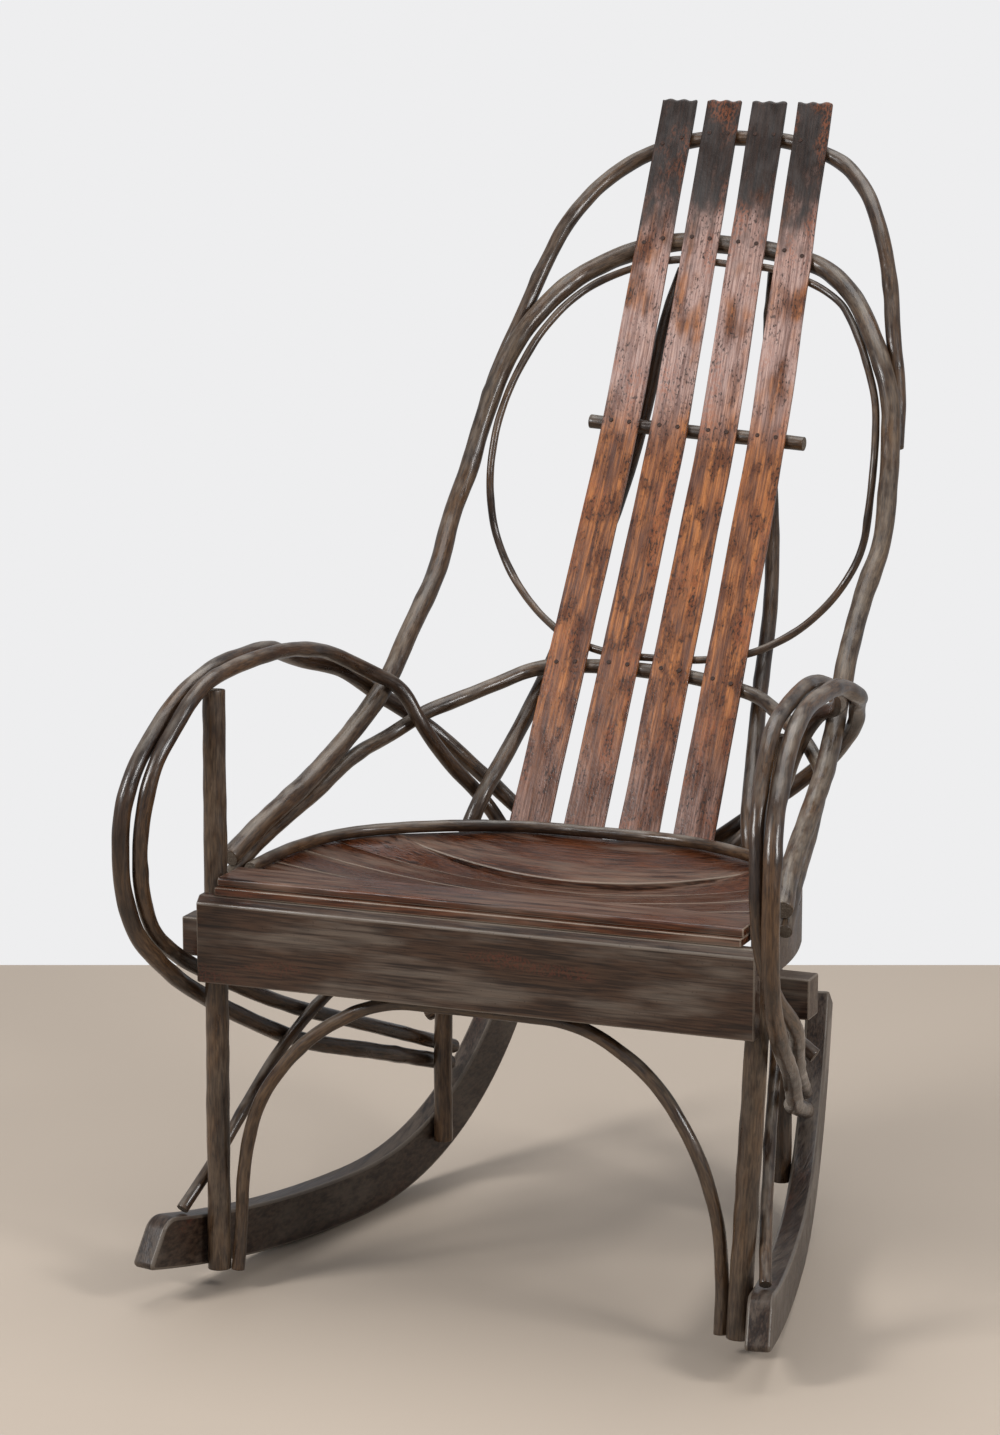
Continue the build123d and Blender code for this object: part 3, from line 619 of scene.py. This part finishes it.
# ---- bent pieces ----
def bent(route, longest=1.0):
    """Evenly spaced points along a route, each corner rounded as a steamed pole bends, and the
    length of the whole; no bend starts further from its corner than the longest given."""
    spots = [Vector((x, y - POST_LINE, z)) * MM for x, y, z in route]
    pulls = [(spots[0], spots[0], spots[0])]
    for before, corner, after in zip(spots, spots[1:], spots[2:]):
        back = before - corner
        ahead = after - corner
        trim = min(0.45 * min(back.length, ahead.length), longest)
        turn = pi - back.angle(ahead)
        if turn < 0.01:
            continue
        pull = trim * 4 / 3 * tan(turn / 4) / tan(turn / 2)
        first = corner + back.normalized() * trim
        last = corner + ahead.normalized() * trim
        pulls.append((first, first, first - back.normalized() * pull))
        pulls.append((last, last - ahead.normalized() * pull, last))
    pulls.append((spots[-1], spots[-1], spots[-1]))
    curve = bpy.data.curves.new("line", "CURVE")
    curve.dimensions = "3D"
    curve.resolution_u = 16
    spline = curve.splines.new("BEZIER")
    spline.bezier_points.add(len(pulls) - 1)
    for point, (at, left, right) in zip(spline.bezier_points, pulls):
        point.handle_left_type = point.handle_right_type = "FREE"
        point.co, point.handle_left, point.handle_right = at, left, right
    holder = bpy.data.objects.new("line", curve)
    mesh = bpy.data.meshes.new_from_object(holder)
    drawn = [vert.co.copy() for vert in mesh.vertices]
    bpy.data.objects.remove(holder)
    bpy.data.meshes.remove(mesh)
    length = sum((b - a).length for a, b in zip(drawn, drawn[1:]))
    count = max(2, round(length / PACE))
    line = [drawn[0]]
    walked = 0.0
    for start, end in zip(drawn, drawn[1:]):
        run = (end - start).length
        while run and len(line) <= count and walked + run >= len(line) * length / count - 1e-9:
            line.append(start.lerp(end, (len(line) * length / count - walked) / run))
        walked += run
    if len(line) <= count:
        line.append(drawn[-1])
    return line, length


def turned(line, across):
    """How a piece's section turns as it follows the line; across is where its x side starts."""
    ahead = (line[1] - line[0]).normalized()
    side = across
    turns = []
    for i in range(len(line)):
        now = (line[min(i + 1, len(line) - 1)] - line[max(i - 1, 0)]).normalized()
        side = ahead.rotation_difference(now) @ side
        side = (side - now * side.dot(now)).normalized()
        turns.append(Matrix((side, now.cross(side), now)).transposed().to_quaternion())
        ahead = now
    return turns


def bend(bm, line, length, across):
    """Bends a straight piece, drawn upright from the origin, so that its middle takes the line."""
    turns = turned(line, across)
    pace = length / (len(line) - 1)
    for vert in bm.verts:
        along = min(max(vert.co.z / pace, 0), len(line) - 1)
        i = min(int(along), len(line) - 2)
        turn = turns[i].slerp(turns[i + 1], along - i)
        aside = Vector((vert.co.x, vert.co.y, vert.co.z - along * pace))
        vert.co = line[i].lerp(line[i + 1], along - i) + turn @ aside


def show(bm, name, materials, slot, *nodes):
    """Turns finished geometry into a piece that stands for its nodes of the frame."""
    mesh = bpy.data.meshes.new(name)
    bm.to_mesh(mesh)
    bm.free()
    for material in materials:
        mesh.materials.append(material)
    piece = bpy.data.objects.new(name, mesh)
    bpy.context.scene.collection.objects.link(piece)
    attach(piece, "root")
    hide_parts(*nodes)
    return piece


def sapling(node, route, diameter, seed, tones=(0.3, 0.3), taper=1.0, knots=0.12):
    """A pole with its bark on: drawn straight, given its swellings and knots, then bent.
    tones are how grey its two ends are, taper the girth that is left at its far end, and knots
    the spacing of its branch scars in metres."""
    line, length = bent(route)
    sides = 24 if diameter > 10 else 16
    radius = diameter / 2 * MM
    bm = bmesh.new()
    bmesh.ops.create_cone(
        bm, cap_ends=True, cap_tris=False, segments=sides, radius1=radius, radius2=radius,
        depth=length, matrix=Matrix.Translation((0, 0, length / 2)),
    )
    rims = [e for e in bm.edges if abs(e.verts[0].co.z - e.verts[1].co.z) < 1e-6]
    bmesh.ops.bevel(
        bm, geom=rims, offset=0.08 * radius, segments=2, profile=0.5, affect="EDGES", material=-1,
    )
    long_edges = [e for e in bm.edges if e.calc_length() > 0.8 * length]
    bmesh.ops.subdivide_edges(
        bm, edges=long_edges, cuts=max(1, round(length / PACE) - 1), use_grid_fill=True,
    )
    chance = random.Random(seed)
    scars = []
    height = chance.uniform(0.3, 1) * knots
    while height < length - END_CLEAR:
        scars.append((height, chance.uniform(0, 2 * pi), chance.uniform(0.25, 1)))
        height += chance.uniform(0.5, 1.5) * knots
    straight = bm.verts.layers.float_vector.new("straight")
    tone = bm.verts.layers.float.new("tone")
    scarred = bm.verts.layers.float.new("knot")
    for face in bm.faces:
        face.smooth = len(face.verts) < 5
        face.material_index = 0 if face.smooth else 1
    for vert in bm.verts:
        x, y, z = vert.co
        part = z / length
        around = atan2(y, x)
        swell = noise.noise(Vector((0, seed, z * 14))) * SWELL
        bump = Vector((x / radius * 0.7, y / radius * 0.7, z * 45 + seed * 9))
        lump = noise.noise(bump) * LUMP
        girth = (GIRTH + swell + lump) * (1 + (taper - 1) * part)
        mark = 0.0
        for at, angle, size in scars:
            if abs(z - at) < SCAR_REACH:
                swing = (around - angle + pi) % (2 * pi) - pi
                gone = ((z - at) / SCAR_HEIGHT) ** 2 + (swing * radius / SCAR_WIDTH) ** 2
                collar = ((z - at) / COLLAR_HEIGHT) ** 2
                mark = max(mark, size * exp(-gone))
                girth += size * (COLLAR_RISE * exp(-collar) + SCAR_RISE * exp(-gone))
        vert[straight] = Vector((x, y, z + seed))
        vert[scarred] = mark
        spread = noise.noise(Vector((seed, 5, z * 5))) * 0.5
        vert[tone] = min(max(tones[0] + (tones[1] - tones[0]) * part + spread, 0), 1)
        vert.co = Vector((x * girth, y * girth, z))
    bend(bm, line, length, Vector((0.13, 0.31, 0.94)))
    bmesh.ops.recalc_face_normals(bm, faces=bm.faces)
    show(bm, f"{node}_sapling", (bark, end_grain), "bark", node)


arms = {"left": (arm_outer_left, arm_inner_left), "right": (arm_outer_right, arm_inner_right)}
for side, turn in (("left", list), ("right", swapped)):
    far = 20 if side == "right" else 0
    outer, inner = arms[side]
    sapling(f"front_post_{side}", turn(post_route), post_d, 1 + far, (0.55, 0.35), 0.97, 0.3)
    sapling(
        f"rear_post_{side}", turn(rear_post_route), rear_post_d, 2 + far, (0.1, 0.1), 0.64, 0.2,
    )
    sapling(f"arm_outer_{side}", turn(outer), arm_outer_d, 3 + far, (0.2, 0.0), 0.95)
    sapling(f"arm_inner_{side}", turn(inner), arm_inner_d, 4 + far, (0.3, 0.0), 1.0)
    sapling(
        f"side_brace_{side}", turn(side_brace_route), side_brace_d, 5 + far, (0.3, 0.2), 0.95, 0.2,
    )
sapling("main_hoop", main_hoop_route, hoop_d, 41, (0.8, 0.3))
sapling("top_hoop", top_hoop_route, crest_d, 42, (0.1, 0.2))
sapling("low_arch", low_arch_route, low_arch_d, 43, (0.6, 0.5))
sapling("seat_rim", seat_rim_side + mirrored(seat_rim_side), rim_d, 44, (0.1, 0.1), 1, 0.3)
sapling("foot_arch", foot_arch_side + mirrored(foot_arch_side), foot_arch_d, 45, (0.4, 0.5))
sapling("back_rod", rod_route, rod_d, 46, (0.0, 0.0), 1, 0.3)
sapling("oval_ring", oval_ring_route, ring_d, 47, (0.1, 0.1), 1, 0.15)


# ---- back slats ----
foot_z = S + slat_foot
head_z = S + slat_head
slat_side = [(slat_y(foot_z), foot_z), (knee_y, knee_z), (slat_y(head_z), head_z)]
RIPPLES = 16             # waves cut in a slat's top, as radians over its width
RIPPLE = 1.8 * MM        # their depth
RIPPLE_REACH = 20 * MM   # how much of the slat they draw along
WANDER = 1.8 * MM        # how far its sides stray from straight
CUP = 1.2 * MM           # how hollow it is across
TWIST = 0.8 * MM


def back_slat(number, place):
    """A rived slat: one thin sheet, narrower upwards, cut with a wavy top and bent at the rod."""
    route = []
    for y, z in slat_side:
        part = (z - foot_z) / (head_z - foot_z)
        pitch = slat_pitch_foot + (slat_pitch_top - slat_pitch_foot) * part
        route.append((place * pitch, y, z))
    line, length = bent(route, knee_reach * MM)
    bm = bmesh.new()
    bmesh.ops.create_grid(bm, x_segments=22, y_segments=round(length / PACE), size=0.5)
    seed = 60 + number
    for vert in bm.verts:
        across, part = vert.co.x, vert.co.y + 0.5
        z = part * length
        width = (back_slat_foot_width + (back_slat_width - back_slat_foot_width) * part) * MM
        wander = noise.noise(Vector((seed, copysign(3, across), z * 11))) * WANDER
        waves = 0.5 + 0.5 * cos(across * RIPPLES + number)
        dip = waves * RIPPLE * max(0, 1 - (length - z) / RIPPLE_REACH)
        cup = (across**2 - 0.12) * CUP
        twist = noise.noise(Vector((seed, across, z * 4))) * TWIST
        vert.co = Vector((across * width + wander * abs(across), cup + twist, z - dip))
    sheet = bmesh.ops.extrude_face_region(bm, geom=bm.faces[:])
    raised = [part for part in sheet["geom"] if isinstance(part, bmesh.types.BMVert)]
    bmesh.ops.translate(bm, verts=raised, vec=(0, back_slat_thick * MM, 0))
    bmesh.ops.translate(bm, verts=bm.verts, vec=(0, -back_slat_thick / 2 * MM, 0))
    bmesh.ops.recalc_face_normals(bm, faces=bm.faces)
    sharp = [e for e in bm.edges if e.calc_face_angle(0) > radians(50)]
    bmesh.ops.bevel(
        bm, geom=sharp, offset=0.9 * MM, segments=2, profile=0.5, affect="EDGES", material=-1,
    )
    straight = bm.verts.layers.float_vector.new("straight")
    for vert in bm.verts:
        vert[straight] = vert.co + Vector((0, 10 * number, 0))
    for face in bm.faces:
        face.smooth = True
    bend(bm, line, length, Vector((1, 0, 0)))
    bmesh.ops.recalc_face_normals(bm, faces=bm.faces)
    show(bm, f"back_slat_{number}_strip", (slat_wood,), "slat_wood", f"back_slat_{number}")


for number, place in enumerate((-1.5, -0.5, 0.5, 1.5), 1):
    back_slat(number, place)


# ---- sawn boards and nails ----
def worn(node, material, slot, round_off):
    """A board or a group of nails as the frame has it, with its sharp edges rubbed round by the
    number of millimetres given."""
    bm = bmesh.new()
    bm.from_mesh(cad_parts[node].data)
    bmesh.ops.remove_doubles(bm, verts=bm.verts, dist=0.01 * MM)
    bmesh.ops.dissolve_limit(
        bm, angle_limit=radians(0.4), verts=bm.verts, edges=bm.edges,
    )
    edge = bm.faces.layers.float.new("edge")
    sharp = [e for e in bm.edges if e.is_manifold and e.calc_face_angle() > radians(32)]
    rubbed = bmesh.ops.bevel(
        bm, geom=sharp, offset=round_off * MM, segments=2, profile=0.5, affect="EDGES",
        material=-1, clamp_overlap=True,
    )
    for face in rubbed["faces"]:
        face[edge] = 1.0
    for face in bm.faces:
        face.smooth = True
    piece = show(bm, f"{node}_worn", (material,), slot, node)
    even = piece.modifiers.new("even shading", "WEIGHTED_NORMAL")
    even.keep_sharp = True


for node in ("front_rail", "cross_rail"):
    worn(node, rail_wood, "board_wood", 1.6)
for node in ("rocker_left", "rocker_right"):
    worn(node, rocker_wood, "board_wood", 3.0)
for node in ("seat_strip_lower", "seat_strip_upper", "seat_back_board", "seat_back_rail"):
    worn(node, seat_wood, "board_wood", 1.2)
for node in [f"seat_slat_{number}" for number in (1, 2, 3, 4, 5)]:
    worn(node, seat_wood, "board_wood", 1.2)
for node in ("seat_apron_left", "seat_apron_right"):
    worn(node, rail_wood, "board_wood", 1.0)
for row in ("rod", "main_hoop", "top_hoop", "low_arch"):
    worn(f"slat_nails_{row}", iron, "iron", 0.5)


# ---- floor, light and camera ----
def plain(name, colour, roughness):
    """A plain even finish for what the chair stands on."""
    material, _, shader = blank(name)
    shader.inputs["Base Color"].default_value = tint(colour)
    shader.inputs["Roughness"].default_value = roughness
    return material


TURN = radians(21.757)
TILT = radians(11.627)
FLOOR_SIZE = 12
FLOOR_END = 0.979        # the floor's far edge, behind the chair's middle
FRAME_HEIGHT = 1435      # height of the frame in pixels
FOCAL_LENGTH = 4200      # the lens's focal length on that scale
SENSOR_SIZE = 36         # the same height on the sensor, in millimetres
floor_mesh = bpy.data.meshes.new("floor")
sheet = bmesh.new()
bmesh.ops.create_grid(sheet, x_segments=1, y_segments=1, size=0.5)
bmesh.ops.scale(sheet, vec=(FLOOR_SIZE, FLOOR_SIZE, 1), verts=sheet.verts)
bmesh.ops.translate(sheet, verts=sheet.verts, vec=(0, FLOOR_END - FLOOR_SIZE / 2, 0))
bmesh.ops.rotate(sheet, verts=sheet.verts, matrix=Matrix.Rotation(TURN, 3, "Z"))
sheet.to_mesh(floor_mesh)
sheet.free()
floor_mesh.materials.append(plain("pale floor", "#b3a596", 0.6))
floor = bpy.data.objects.new("floor", floor_mesh)
bpy.context.scene.collection.objects.link(floor)

world = bpy.data.worlds.new("studio")
bpy.context.scene.world = world
world.use_nodes = True
sky = world.node_tree
seen = add(sky, "ShaderNodeLightPath")
direct = add(sky, "ShaderNodeMath", {0: seen.outputs["Is Camera Ray"],
                                     1: seen.outputs["Is Transmission Ray"]}, operation="MAXIMUM")
wall = add(sky, "ShaderNodeBackground", {"Color": tint("#eeeeef"), "Strength": 1.0})
air = add(sky, "ShaderNodeBackground", {"Color": tint("#f2f5fa"), "Strength": 0.42})
either = add(sky, "ShaderNodeMixShader", {0: direct.outputs[0], 1: air.outputs[0],
                                          2: wall.outputs[0]})
sky.links.new(either.outputs[0], sky.nodes["World Output"].inputs["Surface"])


def soft_box(name, spot, aim, size, watts):
    """A square studio lamp turned to what it lights."""
    lamp = bpy.data.lights.new(name, "AREA")
    lamp.shape = "SQUARE"
    lamp.size = size
    lamp.energy = watts
    holder = bpy.data.objects.new(name, lamp)
    holder.location = spot
    holder.rotation_euler = (Vector(aim) - Vector(spot)).to_track_quat("-Z", "Y").to_euler()
    bpy.context.scene.collection.objects.link(holder)


soft_box("key", (-1.9, -2.4, 2.3), (0, 0, 0.5), 0.9, 78)
soft_box("window", (2.7, -1.0, 2.0), (0, 0, 0.6), 0.8, 54)
soft_box("ceiling", (0, 0.5, 3.2), (0, 0, 0.4), 2.4, 52)

lens = bpy.data.cameras.new("camera")
lens.sensor_width = SENSOR_SIZE
lens.lens = FOCAL_LENGTH / FRAME_HEIGHT * SENSOR_SIZE
lens.clip_start = 0.1
camera = bpy.data.objects.new("camera", lens)
camera.location = (1.4122, -3.80887, 1.3504)
camera.rotation_euler = (pi / 2 - TILT, 0, TURN)
bpy.context.scene.collection.objects.link(camera)
bpy.context.scene.camera = camera
bpy.context.scene.view_settings.view_transform = "Standard"
